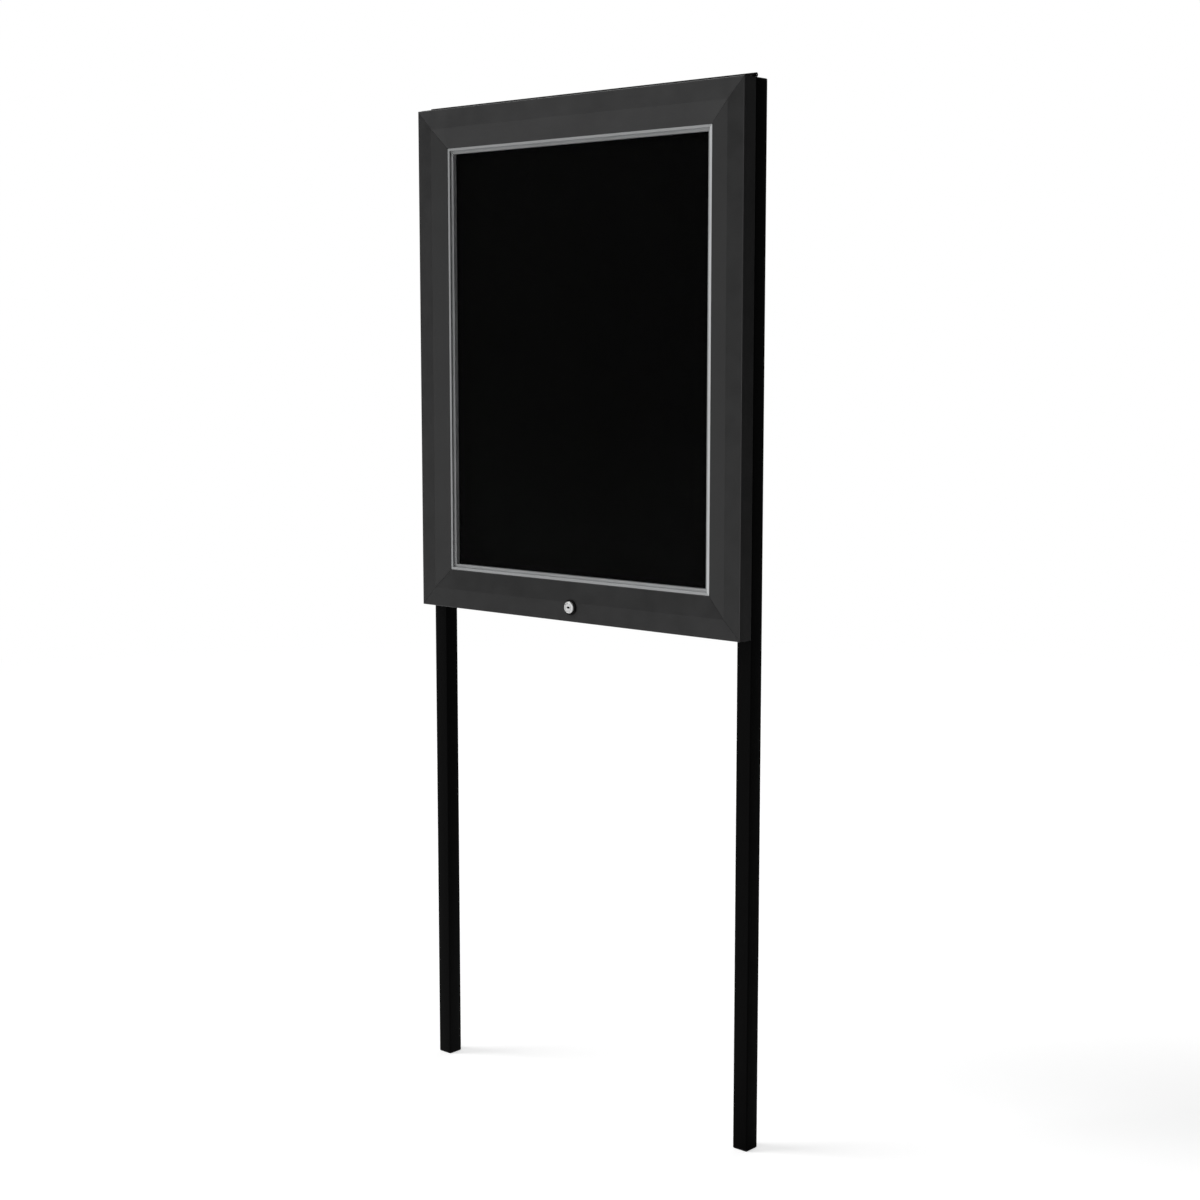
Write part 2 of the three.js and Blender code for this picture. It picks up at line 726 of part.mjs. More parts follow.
function caseStrutBracket(sign) {
  const baseBack = rearFlangeFront - seatGap;
  const earMiddle = (strutEarInner + strutEarOuter) / 2;
  const edges = [-1, 1].map((place) => insetX(sign, earMiddle) + place * bracketBaseWidth / 2);
  const base = slab(
    [edges[0], baseBack - bracketBaseThickness, strutFootHeight - bracketBaseLength / 2],
    [edges[1], baseBack, strutFootHeight + bracketBaseLength / 2],
  );
  const shape = earShape(strutFootHeight, baseBack);
  const studShape = circle(strutPinRadius, strutDepth, strutFootHeight);
  const headShape = circle(strutPinHeadRadius, strutDepth, strutFootHeight);
  const ear = across(sign, shape, strutEarOuter, strutEarInner, roundFacets / 2);
  const stud = across(sign, studShape, strutEarOuter, strutStudEnd, roundFacets / 2);
  const head = across(sign, headShape, strutStudEnd - strutPinHead, strutStudEnd, roundFacets / 2);
  return join(base, ear, stud, head);
}

// The tube and the rod are drawn upwards from the foot pivot, which is their origin.
const strutBore = strutTubeRadius - strutTubeWall;
const strutTubeEnd = strutClosedLength - strutExposedRod;
const strutGuideBore = strutRodRadius + strutRodClearance;

function strutEye(height) {
  const half = strutEyeThickness / 2;
  return alongX(circle(strutEyeRadius, 0, height), -half, half, roundFacets / 2);
}

function strutCylinder() {
  const tube = upright(turned([
    [0, strutTubeStart],
    [strutTubeRadius, strutTubeStart],
    [strutTubeRadius, strutTubeEnd],
    [strutGuideBore, strutTubeEnd],
    [strutGuideBore, strutTubeEnd - strutGuideLength],
    [strutBore, strutTubeEnd - strutGuideLength],
    [strutBore, strutTubeStart + strutTubeWall],
    [0, strutTubeStart + strutTubeWall],
  ]));
  const neck = upright(bar(strutEyeThickness / 2, strutEyeRadius / 2, strutTubeStart + strutTubeWall / 2));
  const holeShape = circle(strutPinRadius + strutPinClearance);
  const hole = alongX(holeShape, -strutEyeThickness, strutEyeThickness, roundFacets / 2);
  return cut(join(tube, neck, strutEye(0)), hole);
}

function strutRod(sign) {
  const rodFoot = strutTubeEnd - strutRodInside;
  const pistonRadius = strutBore - strutPistonClearance;
  const rod = upright(turned([
    [0, rodFoot],
    [pistonRadius, rodFoot],
    [pistonRadius, rodFoot + strutPistonLength],
    [strutRodRadius, rodFoot + strutPistonLength],
    [strutRodRadius, strutClosedLength - strutEyeRadius / 2],
    [0, strutClosedLength - strutEyeRadius / 2],
  ]));
  const headReaches = [strutEyeThickness / 2 - seatGap, strutEyeThickness / 2 + strutPinHead];
  const headEnds = headReaches.map((reach) => -sign * reach).sort((a, b) => a - b);
  const headShape = circle(strutPinHeadRadius, 0, strutClosedLength);
  const head = alongX(headShape, headEnds[0], headEnds[1], roundFacets / 2);
  return join(rod, strutEye(strutClosedLength), head);
}

for (const { side, sign } of leftAndRight) {
  add(door, `strut_door_bracket_${side}`, doorStrutBracket(sign), zincPlate);
  add(casing, `strut_case_bracket_${side}`, caseStrutBracket(sign), zincPlate);
  const cylinder = add(casing, `strut_cylinder_${side}`, strutCylinder(), blackCoat);
  const rod = add(casing, `strut_rod_${side}`, strutRod(sign), chrome);
  for (const piece of [cylinder, rod]) {
    piece.position.set(insetX(sign, strutInset), strutDepth, strutFootHeight);
  }
}

// Posts: square tubes with a cap on top and a plug in the foot, and three screws each from inside the case
function tapered(shape, height, shrink) {
  const body = prism(shape, height);
  const points = body.attributes.position;
  for (let i = 0; i < points.count; i++) {
    const factor = points.getZ(i) > height / 2 ? shrink : 1;
    points.setXY(i, points.getX(i) * factor, points.getY(i) * factor);
  }
  return body;
}

function postTube() {
  const section = roundedSquare(postSide, postCornerRadius);
  section.holes.push(roundedSquare(postSide - 2 * postWall, postCornerRadius - postWall, THREE.Path));
  const tube = prism(section, postTubeLength);
  const holes = screwOffsets.map((offset) => {
    const hole = bar(screwHoleRadius, -postSide / 2 - cutOverrun, postWall - postSide / 2 + cutOverrun);
    return hole.translate(0, 0, boardMiddle + offset - postTubeFoot);
  });
  return cut(tube, ...holes);
}

// A cap drawn with its plug pointing down from z = 0 and its flange above
function postCap() {
  const plugSide = postSide - 2 * postWall - 2 * capPlugClearance;
  const plugCorner = postCornerRadius - postWall;
  const plug = prism(roundedSquare(plugSide, plugCorner), capPlugDepth + capFlange / 2);
  const pocket = prism(roundedSquare(plugSide - 2 * capPlugWall, plugCorner), capPlugDepth + cutOverrun);
  const flangeShape = roundedSquare(postSide, postCornerRadius);
  const flange = prism(flangeShape, capFlange - capChamfer);
  const crown = tapered(flangeShape, capChamfer, 1 - 2 * capChamfer / postSide);
  const hollowPlug = cut(
    plug.translate(0, 0, -capPlugDepth),
    pocket.translate(0, 0, -capPlugDepth - cutOverrun),
  );
  return join(hollowPlug, flange, crown.translate(0, 0, capFlange - capChamfer));
}

function postScrew() {
  return turned([
    [0, -screwHeadHeight],
    [screwHeadRadius - screwHeadChamfer, -screwHeadHeight],
    [screwHeadRadius, screwHeadChamfer - screwHeadHeight],
    [screwHeadRadius, 0],
    [screwShankRadius, 0],
    [screwShankRadius, screwReach - screwShankRadius],
    [0, screwReach],
  ], barrelFacets);
}

const posts = new THREE.Group();
const screwNames = ['lower', 'middle', 'upper'];
for (const { side, sign } of leftAndRight) {
  const post = new THREE.Group();
  post.position.set(sign * postCentreX, (postFront + postRear) / 2, 0);
  const tube = add(post, `post_${side}`, postTube(), blackCoat);
  tube.position.z = postTubeFoot;
  const cap = add(post, `post_cap_${side}`, postCap(), blackPlastic);
  cap.position.z = postTubeTop + seatGap;
  const foot = add(post, `post_foot_${side}`, postCap(), blackPlastic);
  foot.position.z = capFlange;
  foot.rotation.x = Math.PI;
  posts.add(post);
  screwOffsets.forEach((offset, i) => {
    const screw = add(posts, `post_screw_${side}_${screwNames[i]}`, postScrew(), zincPlate);
    screw.position.set(sign * postCentreX, rearFlangeFront - seatGap, boardMiddle + offset);
  });
}

board.add(door, casing, posts);
board.position.y = -assemblyMiddleDepth;

export default board;
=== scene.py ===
"""The looks of a lockable notice board on two posts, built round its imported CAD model.

Metres, +Z up, +X to the right seen from the front, the door faces -Y.
"""

import math

import bmesh
import bpy
from mathutils import Matrix, Vector


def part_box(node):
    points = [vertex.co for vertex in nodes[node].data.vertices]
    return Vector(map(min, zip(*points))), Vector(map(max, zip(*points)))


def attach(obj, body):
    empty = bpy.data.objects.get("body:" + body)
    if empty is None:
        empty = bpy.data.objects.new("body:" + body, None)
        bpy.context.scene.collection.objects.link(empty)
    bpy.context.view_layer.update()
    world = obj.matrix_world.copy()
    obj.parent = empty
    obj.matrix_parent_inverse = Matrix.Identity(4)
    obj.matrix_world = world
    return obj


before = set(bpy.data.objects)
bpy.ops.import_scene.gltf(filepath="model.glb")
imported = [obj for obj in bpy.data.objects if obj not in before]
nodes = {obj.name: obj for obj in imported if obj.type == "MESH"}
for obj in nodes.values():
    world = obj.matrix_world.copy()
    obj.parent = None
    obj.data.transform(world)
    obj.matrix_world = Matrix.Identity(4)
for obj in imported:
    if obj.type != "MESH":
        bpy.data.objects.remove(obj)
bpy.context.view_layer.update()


# Camera: the photograph's viewing angle, from the right of the board and a little above its middle
IMAGE_SIDE = 1200
SENSOR_MM = 36
FOCAL_PX = 2016.0
CLIP_RANGE = (0.05, 200)
CAMERA_PLACE = Vector((2.3714, -2.5982, 1.3504))
CAMERA_AZIMUTH = math.radians(41.84)
CAMERA_PITCH = math.radians(7.12)


def make_camera():
    data = bpy.data.cameras.new("camera")
    data.sensor_width = SENSOR_MM
    data.lens = FOCAL_PX / IMAGE_SIDE * SENSOR_MM
    data.clip_start, data.clip_end = CLIP_RANGE
    camera = bpy.data.objects.new("camera", data)
    camera.location = CAMERA_PLACE
    camera.rotation_euler = (math.pi / 2 - CAMERA_PITCH, 0, CAMERA_AZIMUTH)
    bpy.context.scene.collection.objects.link(camera)
    bpy.context.scene.camera = camera


# Node trees
EDGE_SAMPLES = 4
EDGE_SHARPNESS = 6.0
WHITE = (1.0, 1.0, 1.0, 1.0)


class Graph:
    """A material's or the world's node tree, with short calls to add and link its nodes."""

    def __init__(self, owner):
        owner.use_nodes = True
        self.tree = owner.node_tree
        self.tree.nodes.clear()

    def node(self, kind, inputs=None, **settings):
        made = self.tree.nodes.new(kind)
        for key, value in settings.items():
            setattr(made, key, value)
        for key, value in (inputs or {}).items():
            self.set(made.inputs[key], value)
        return made

    def set(self, socket, value):
        if isinstance(value, bpy.types.NodeSocket):
            self.tree.links.new(value, socket)
        else:
            socket.default_value = value

    def place(self):
        return self.node("ShaderNodeTexCoord").outputs["Object"]

    def stretched(self, vector, scale):
        return self.node("ShaderNodeMapping", {"Vector": vector, "Scale": scale}).outputs["Vector"]

    def noise(self, vector, scale, detail=3.0, roughness=0.55):
        """Noise of about 0.3 to 0.7, with scale cells to the metre."""
        made = self.node("ShaderNodeTexNoise", {
            "Vector": vector, "Scale": scale, "Detail": detail, "Roughness": roughness})
        return made.outputs["Fac"]

    def spread(self, value, low, high, start=0.3, end=0.7):
        """value, which runs from about start to end, as one that runs from low to high."""
        made = self.node("ShaderNodeMapRange", {
            "Value": value, "From Min": start, "From Max": end, "To Min": low, "To Max": high})
        return made.outputs["Result"]

    def math(self, operation, *values):
        made = self.node("ShaderNodeMath", operation=operation)
        for socket, value in zip(made.inputs, values):
            self.set(socket, value)
        return made.outputs[0]

    def vector_math(self, operation, output, *values):
        made = self.node("ShaderNodeVectorMath", dict(enumerate(values)), operation=operation)
        return made.outputs[output]

    def mix(self, share, a, b):
        made = self.node("ShaderNodeMix", data_type="RGBA")
        for name, value in (("Factor", share), ("A", a), ("B", b)):
            matches = [s for s in made.inputs if s.name == name and s.enabled]
            self.set(matches[0], value)
        return [s for s in made.outputs if s.enabled][0]

    def tones(self, clouds, darker, lighter):
        """A colour that drifts between two others with a noise."""
        return self.mix(self.spread(clouds, 0.0, 1.0), darker, lighter)

    def bump(self, height, strength, distance, normal=None):
        inputs = {"Height": height, "Strength": strength, "Distance": distance}
        if normal:
            inputs["Normal"] = normal
        return self.node("ShaderNodeBump", inputs).outputs["Normal"]

    def edges(self, radius):
        """1 on the edges of the solid and 0 on its faces, from how far a rounded normal leans."""
        rounded = self.node("ShaderNodeBevel", {"Radius": radius}, samples=EDGE_SAMPLES)
        flat = self.node("ShaderNodeNewGeometry").outputs["True Normal"]
        dot = self.vector_math("DOT_PRODUCT", "Value", rounded.outputs["Normal"], flat)
        leaning = self.math("SUBTRACT", 1.0, dot)
        steep = self.math("MULTIPLY", leaning, EDGE_SHARPNESS)
        return self.node("ShaderNodeClamp", {"Value": steep}).outputs[0]

    def with_edges(self, base, radius, share, colour):
        """base, with some of another colour along the edges of the solid."""
        return self.mix(self.math("MULTIPLY", self.edges(radius), share), base, colour)

    def finish(self, **inputs):
        shader = self.node("ShaderNodeBsdfPrincipled")
        for key, value in inputs.items():
            self.set(shader.inputs[key.replace("_", " ")], value)
        self.node("ShaderNodeOutputMaterial", {"Surface": shader.outputs["BSDF"]})


def grey(value, tint=(1.0, 1.0, 1.0)):
    return (value * tint[0], value * tint[1], value * tint[2], 1.0)


# Materials. A tone is how much light a surface gives back, from 0 to 1
ANTHRACITE_TINT = (1.0, 1.0, 1.01)
SILVER_TINT = (0.97, 0.99, 1.0)
ZINC_TINT = (0.96, 0.99, 1.0)


def powder_coat(name, tone, tint=(1.0, 1.0, 1.0), rough=0.5, specular=0.3, grain=0.25, worn=0.35):
    """Baked powder coat: fine orange peel, slight clouds of tone, and edges rubbed lighter."""
    material = bpy.data.materials.new(name)
    g = Graph(material)
    place = g.place()
    clouds = g.noise(place, scale=9.0, detail=4.0)
    peel = g.noise(place, scale=900.0, detail=2.0)
    specks = g.noise(place, scale=2600.0, detail=1.0)
    base = g.tones(clouds, grey(tone * 0.9, tint), grey(tone * 1.12, tint))
    speckled = g.spread(specks, low=0.0, high=0.22, start=0.55, end=0.75)
    base = g.mix(speckled, base, grey(tone * 1.9, tint))
    patches = g.noise(place, scale=60.0, detail=5.0)
    patchy = g.spread(patches, low=0.1, high=1.0, start=0.4, end=0.65)
    rubbed = g.math("MULTIPLY", g.edges(0.0009), patchy)
    base = g.mix(g.math("MULTIPLY", rubbed, worn), base, grey(tone * 2.6 + 0.004, tint))
    uneven = g.spread(g.noise(place, scale=30.0, detail=4.0), low=0.0, high=0.1)
    fine = g.bump(specks, strength=grain * 0.6, distance=0.00006)
    g.finish(
        Base_Color=base,
        Roughness=g.math("ADD", rough - 0.05, uneven),
        Normal=g.bump(peel, strength=grain, distance=0.0002, normal=fine),
        Specular_IOR_Level=specular,
    )
    return material


def drawn_metal(name, tone, along):
    """Anodised aluminium: fine die lines along one axis over a satin ground."""
    material = bpy.data.materials.new(name)
    g = Graph(material)
    place = g.place()
    squeeze = [1400.0, 1400.0, 1400.0]
    squeeze["XYZ".index(along)] = 6.0
    lines = g.noise(g.stretched(place, squeeze), scale=1.0)
    clouds = g.noise(place, scale=14.0, detail=4.0)
    base = g.tones(clouds, grey(tone * 0.93, SILVER_TINT), grey(tone * 1.04, SILVER_TINT))
    base = g.mix(g.spread(lines, low=0.0, high=0.3), base, grey(tone * 0.78, SILVER_TINT))
    base = g.with_edges(base, 0.0005, 0.35, grey(min(1.0, tone * 1.25), SILVER_TINT))
    g.finish(
        Base_Color=base,
        Metallic=0.35,
        Roughness=g.math("ADD", 0.37, g.spread(lines, low=0.0, high=0.12)),
        Normal=g.bump(lines, strength=0.15, distance=0.00008),
    )
    return material


def plated_steel(name, tone, cloudy=0.16, spangle=0.0, metallic=0.92):
    """Zinc: cloudy and slightly blue, with the grain of hot-dip zinc where spangle isn't 0."""
    material = bpy.data.materials.new(name)
    g = Graph(material)
    place = g.place()
    clouds = g.noise(place, scale=40.0, detail=5.0)
    darker, lighter = tone * (1.0 - cloudy), tone * (1.0 + cloudy * 0.6)
    base = g.tones(clouds, grey(darker, ZINC_TINT), grey(lighter, ZINC_TINT))
    roughness = g.spread(clouds, low=0.35, high=0.52)
    if spangle:
        cells = g.node("ShaderNodeTexVoronoi", {"Vector": place, "Scale": 90.0}).outputs["Color"]
        level = g.node("ShaderNodeSeparateColor", {"Color": cells}).outputs["Red"]
        brighter = g.spread(level, low=0.0, high=spangle, start=0.0, end=1.0)
        base = g.mix(brighter, base, grey(tone * 1.35, ZINC_TINT))
        rougher = g.spread(level, low=0.0, high=0.14, start=0.0, end=1.0)
        roughness = g.math("ADD", roughness, rougher)
    base = g.with_edges(base, 0.0005, 0.4, grey(min(1.0, tone * 1.3), ZINC_TINT))
    grain = g.noise(place, scale=500.0)
    g.finish(
        Base_Color=base,
        Metallic=metallic,
        Roughness=roughness,
        Normal=g.bump(grain, strength=0.12, distance=0.0001),
    )
    return material


def chrome_plate(name, tone, turned_at=None, rough=0.12, metallic=1.0):
    """Chrome. turned_at is the (x, z) centre of the turning marks on a face that looks along Y."""
    material = bpy.data.materials.new(name)
    g = Graph(material)
    place = g.place()
    smudges = g.noise(place, scale=120.0, detail=4.0)
    normal = g.bump(smudges, strength=0.05, distance=0.0001)
    if turned_at:
        centre = (turned_at[0], 0.0, turned_at[1])
        offset = g.vector_math("SUBTRACT", "Vector", place, centre)
        radius = g.vector_math("LENGTH", "Value", g.stretched(offset, (1.0, 0.0, 1.0)))
        rings = g.math("SINE", g.math("MULTIPLY", radius, 14000.0))
        normal = g.bump(rings, strength=0.1, distance=0.00004, normal=normal)
    g.finish(
        Base_Color=g.tones(smudges, grey(tone * 0.93), grey(tone)),
        Metallic=metallic,
        Roughness=g.spread(smudges, low=rough - 0.03, high=rough + 0.08),
        Normal=normal,
    )
    return material


def felt(name, tone):
    """Short-haired felt: a fibrous bump at two scales and a soft, uneven nap."""
    material = bpy.data.materials.new(name)
    g = Graph(material)
    place = g.place()
    nap = g.noise(place, scale=12.0, detail=5.0)
    upright = g.stretched(place, (1.0, 1.0, 0.45))
    fibres = g.noise(upright, scale=1500.0, detail=6.0, roughness=0.7)
    tufts = g.noise(place, scale=320.0, detail=4.0)
    base = g.tones(nap, grey(tone * 0.8), grey(tone * 1.25))
    base = g.mix(g.spread(fibres, low=0.0, high=0.6), base, grey(tone * 2.2))
    coarse = g.bump(tufts, strength=0.4, distance=0.0006)
    g.finish(
        Base_Color=base,
        Roughness=0.95,
        Normal=g.bump(fibres, strength=0.7, distance=0.0004, normal=coarse),
        Specular_IOR_Level=0.015,
    )
    return material


def moulded(name, tone, rough=0.6, specular=0.25, grain=1100.0):
    """Moulded plastic or extruded rubber with a fine grain."""
    material = bpy.data.materials.new(name)
    g = Graph(material)
    place = g.place()
    clouds = g.noise(place, scale=50.0, detail=4.0)
    fine = g.noise(place, scale=grain, detail=2.0)
    base = g.tones(clouds, grey(tone * 0.85), grey(tone * 1.2))
    g.finish(
        Base_Color=g.with_edges(base, 0.0006, 0.4, grey(tone * 2.0 + 0.006)),
        Roughness=g.spread(clouds, low=rough - 0.05, high=rough + 0.08),
        Normal=g.bump(fine, strength=0.3, distance=0.00015),
        Specular_IOR_Level=specular,
    )
    return material


def clear_sheet(name):
    """Low-glare glazing: nearly all light goes straight through, and the rest is a soft gloss."""
    material = bpy.data.materials.new(name)
    g = Graph(material)
    place = g.place()
    haze = g.noise(place, scale=5.0)
    wave = g.noise(place, scale=2.2, detail=1.0)
    g.finish(
        Base_Color=grey(0.003),
        Roughness=g.spread(haze, low=0.03, high=0.07),
        Alpha=g.spread(haze, low=0.05, high=0.08),
        Normal=g.bump(wave, strength=0.05, distance=0.0004),
        Specular_IOR_Level=0.35,
    )
    return material


# Meshes made in code
SMOOTH_ANGLE = math.radians(35)
EDGE_SEGMENTS = 2
TURNED_STEPS = 24
ON_AXIS = 1e-7


def mesh_object(name, mesh_data, material):
    mesh = bpy.data.meshes.new(name)
    mesh_data.to_mesh(mesh)
    mesh_data.free()
    for polygon in mesh.polygons:
        polygon.use_smooth = True
    mesh.set_sharp_from_angle(angle=SMOOTH_ANGLE)
    mesh.materials.append(material)
    made = bpy.data.objects.new(name, mesh)
    bpy.context.scene.collection.objects.link(made)
    return made


def piece(name, body, mesh_data, material, edge=0.0):
    """A piece that rides on a body, with its edges rounded by a modifier where edge isn't 0."""
    made = mesh_object(name, mesh_data, material)
    if edge:
        rounding = made.modifiers.new("edges", "BEVEL")
        rounding.width = edge
        rounding.segments = EDGE_SEGMENTS
        rounding.limit_method = "ANGLE"
    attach(made, body)


def add_turned(mesh_data, profile, place, axis, steps=TURNED_STEPS):
    """Adds a turned form: profile is a list of (radius, height along axis), from end to end."""
    turn = Vector((0, 0, 1)).rotation_difference(Vector(axis)).to_matrix().to_4x4()
    matrix = Matrix.Translation(place) @ turn
    rings = []
    for radius, height in profile:
        if radius < ON_AXIS:
            rings.append([mesh_data.verts.new(matrix @ Vector((0, 0, height)))] * steps)
            continue
        ring = []
        for i in range(steps):
            angle = 2 * math.pi * i / steps
            corner = Vector((radius * math.cos(angle), radius * math.sin(angle), height))
            ring.append(mesh_data.verts.new(matrix @ corner))
        rings.append(ring)
    for low, high in zip(rings, rings[1:]):
        for i in range(steps):
            k = (i + 1) % steps
            corners = list(dict.fromkeys([low[i], low[k], high[k], high[i]]))
            if len(corners) > 2:
                mesh_data.faces.new(corners)


# CAD nodes
WELD_DISTANCE = 0.000005
FLAT_ANGLE = math.radians(0.4)
SHARP_DEGREES = 35.0
MITRE_DEGREES = 20.0


def soften(node, width, degrees, smooth):
    """Rounds the sharp edges of a CAD node by a modifier: its vertices stay as they are."""
    mesh = nodes[node].data
    if "custom_normal" in mesh.attributes:
        mesh.attributes.remove(mesh.attributes["custom_normal"])
    for polygon in mesh.polygons:
        polygon.use_smooth = smooth
    weld = nodes[node].modifiers.new("weld", "WELD")
    weld.merge_threshold = WELD_DISTANCE
    planar = nodes[node].modifiers.new("planar", "DECIMATE")
    planar.decimate_type = "DISSOLVE"
    planar.angle_limit = FLAT_ANGLE
    bevel = nodes[node].modifiers.new("edges", "BEVEL")
    bevel.width = width
    bevel.segments = EDGE_SEGMENTS
    bevel.limit_method = "ANGLE"
    bevel.angle_limit = math.radians(degrees)
    bevel.harden_normals = smooth
    bevel.use_clamp_overlap = True


def dress(material, *names, width=None, degrees=SHARP_DEGREES, smooth=True):
    """Gives CAD nodes a material and, where width isn't None, softened edges."""
    for name in names:
        slots = nodes[name].data.materials
        slots.clear()
        slots.append(material)
        if width:
            soften(name, width, degrees, smooth)


def around(pattern, words):
    return [pattern.format(word) for word in words]


OPENING = (0.610, 0.762)
FRAME_FACE = 0.070
SIDES = ("top", "bottom", "left", "right")
ALONG = {"top": "X", "bottom": "X", "left": "Z", "right": "Z"}
CORNERS = ("top_left", "top_right", "bottom_left", "bottom_right")
LEFT_RIGHT = ("left", "right")
SCREW_LEVELS = ("lower", "middle", "upper")
lock_low, lock_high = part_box("lock_housing")
lock_centre = (lock_low + lock_high) / 2

# Edge radii
METAL_EDGE = 0.0002
SMALL_EDGE = 0.00015
CAP_EDGE = 0.00025
TUBE_EDGE = 0.0003

# Tones. The door's rails are one powder coat and the sides of its glazing bead one silver, but
# their tones differ a little, as in the photograph: painted light and shade
FRAME_LIT_AND_SHADED_TONES = {
    "top_rail": 0.037, "bottom_rail": 0.022, "left_stile": 0.0205, "right_stile": 0.0175}
BEAD_LIT_AND_SHADED_TONES = {"top": 0.4, "bottom": 0.43, "left": 0.4, "right": 0.65}
CASE_TONE = 0.52
BLACK_COAT_TONE = 0.0012
FELT_TONE = 0.0012
ZINC_TONE = 0.44
BACK_SHEET_TONE = 0.62
SEAL_TONE = 0.006
PLASTIC_TONE = 0.004
LOCK_TONE = 0.9
STRUT_TUBE_TONE = 0.008
STRUT_ROD_TONE = 0.75


def dress_nodes():
    """Gives every CAD node its finish, and returns those that pieces made here share."""
    # Lit and shaded copies of one coat, one for each rail: painted light and shade
    for name, tone in FRAME_LIT_AND_SHADED_TONES.items():
        coat = powder_coat("anthracite_shaded_" + name, tone, ANTHRACITE_TINT, rough=0.34)
        dress(coat, "door_" + name, width=METAL_EDGE, degrees=MITRE_DEGREES, smooth=False)
    black = powder_coat("black_coat", BLACK_COAT_TONE, specular=0.035, grain=0.35, worn=0.06)
    dress(black, *around("post_{}", LEFT_RIGHT), "hinge_door_leaf", "hinge_case_leaf",
          width=METAL_EDGE)
    for side in SIDES:
        silver = drawn_metal("silver_case_" + side, CASE_TONE, ALONG[side])
        dress(silver, f"case_{side}_rail", f"glazing_retainer_{side}",
              width=METAL_EDGE, smooth=False)
    zinc = plated_steel("zinc_plate", ZINC_TONE)
    dress(zinc, *around("door_corner_cleat_{}", CORNERS),
          *around("case_corner_bracket_{}", CORNERS),
          *around("strut_door_bracket_{}", LEFT_RIGHT),
          *around("strut_case_bracket_{}", LEFT_RIGHT),
          "lock_nut", "lock_cam", "lock_cam_nut", "lock_keeper", width=METAL_EDGE)
    dress(zinc, "hinge_pin", *around("post_screw_left_{}", SCREW_LEVELS),
          *around("post_screw_right_{}", SCREW_LEVELS), width=SMALL_EDGE)
    dress(plated_steel("galvanised", BACK_SHEET_TONE, cloudy=0.05, spangle=0.35, metallic=0.6),
          "back_sheet")
    dress(felt("black_felt", FELT_TONE), "pin_board")
    rubber = moulded("seal_rubber", SEAL_TONE, rough=0.75, grain=700.0)
    dress(rubber, *around("weather_seal_{}", SIDES))
    plastic = moulded("black_plastic", PLASTIC_TONE, specular=0.1)
    dress(plastic, *around("post_cap_{}", LEFT_RIGHT), *around("post_foot_{}", LEFT_RIGHT),
          width=CAP_EDGE)
    dress(clear_sheet("clear_sheet"), "glazing")
    lock_axis = (lock_centre.x, lock_centre.z)
    chrome = chrome_plate("lock_chrome", LOCK_TONE, lock_axis, rough=0.32, metallic=0.5)
    dress(chrome, "lock_housing", "lock_plug", width=SMALL_EDGE)
    tube = powder_coat("strut_black", STRUT_TUBE_TONE,
                       rough=0.35, specular=0.4, grain=0.1, worn=0.1)
    dress(tube, *around("strut_cylinder_{}", LEFT_RIGHT), width=TUBE_EDGE)
    dress(chrome_plate("rod_chrome", STRUT_ROD_TONE), *around("strut_rod_{}", LEFT_RIGHT),
          width=METAL_EDGE)
    return zinc, black, chrome, plastic


# Glazing bead: a bright mitred strip round the glass, against the inner edge of the door's rails
BEAD_WIDTH = 0.0046
BEAD_THICK = 0.0014
BEAD_GAP = 0.0001
BEAD_EDGE = 0.0003


def bead_corners(inset):
    """The four (x, z) corners of the opening, moved inwards, from the bottom left anticlockwise."""
    half_width = OPENING[0] / 2 - inset
    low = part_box("door_bottom_rail")[0].z + FRAME_FACE + inset
    high = low + OPENING[1] - 2 * inset
    return [(-half_width, low), (half_width, low), (half_width, high), (-half_width, high)]


def add_bead():
    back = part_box("glazing")[0].y - BEAD_GAP
    outer, inner = bead_corners(BEAD_GAP), bead_corners(BEAD_GAP + BEAD_WIDTH)
    for i, side in enumerate(("bottom", "right", "top", "left")):
        k = (i + 1) % 4
        ring = [outer[i], outer[k], inner[k], inner[i]]
        mesh_data = bmesh.new()
        fronts = [mesh_data.verts.new((x, back - BEAD_THICK, z)) for x, z in ring]
        backs = [mesh_data.verts.new((x, back, z)) for x, z in ring]
        mesh_data.faces.new(fronts)
        mesh_data.faces.new(backs[::-1])
        for a in range(4):
            b = (a + 1) % 4
            mesh_data.faces.new([fronts[b], fronts[a], backs[a], backs[b]])
        bmesh.ops.recalc_face_normals(mesh_data, faces=mesh_data.faces)
        # Lit and shaded copies of one silver, one for each side: painted light and shade, the right
        # side lightest
        silver = drawn_metal("silver_bead_shaded_" + side, BEAD_LIT_AND_SHADED_TONES[side], ALONG[side])
        piece("bead_" + side, "door", mesh_data, silver, BEAD_EDGE)


# Lock: a black disc on the face of its plug, the bright cover with the key slot in front of it, and
# a black ring over the flange. Disc and ring are painted shade: the dark depth of a keyway and the
# shade beside the raised head
LOCK_STEPS = 48
KEYWAY_SHADE_RADIUS = 0.0048
KEYWAY_SHADE_HEIGHT = 0.0001
COVER_RADIUS = 0.0062
COVER_HEIGHT = 0.00033
KEY_SLOT = (0.0070, 0.0034)
SHADE_RING_BORE = 0.01045
SHADE_RING_SKIRT = (0.01335, 0.0137)
SHADE_RING_HEIGHTS = (0.0002, 0.00185, 0.0028)
SHADE_RING_EDGE = 0.0005


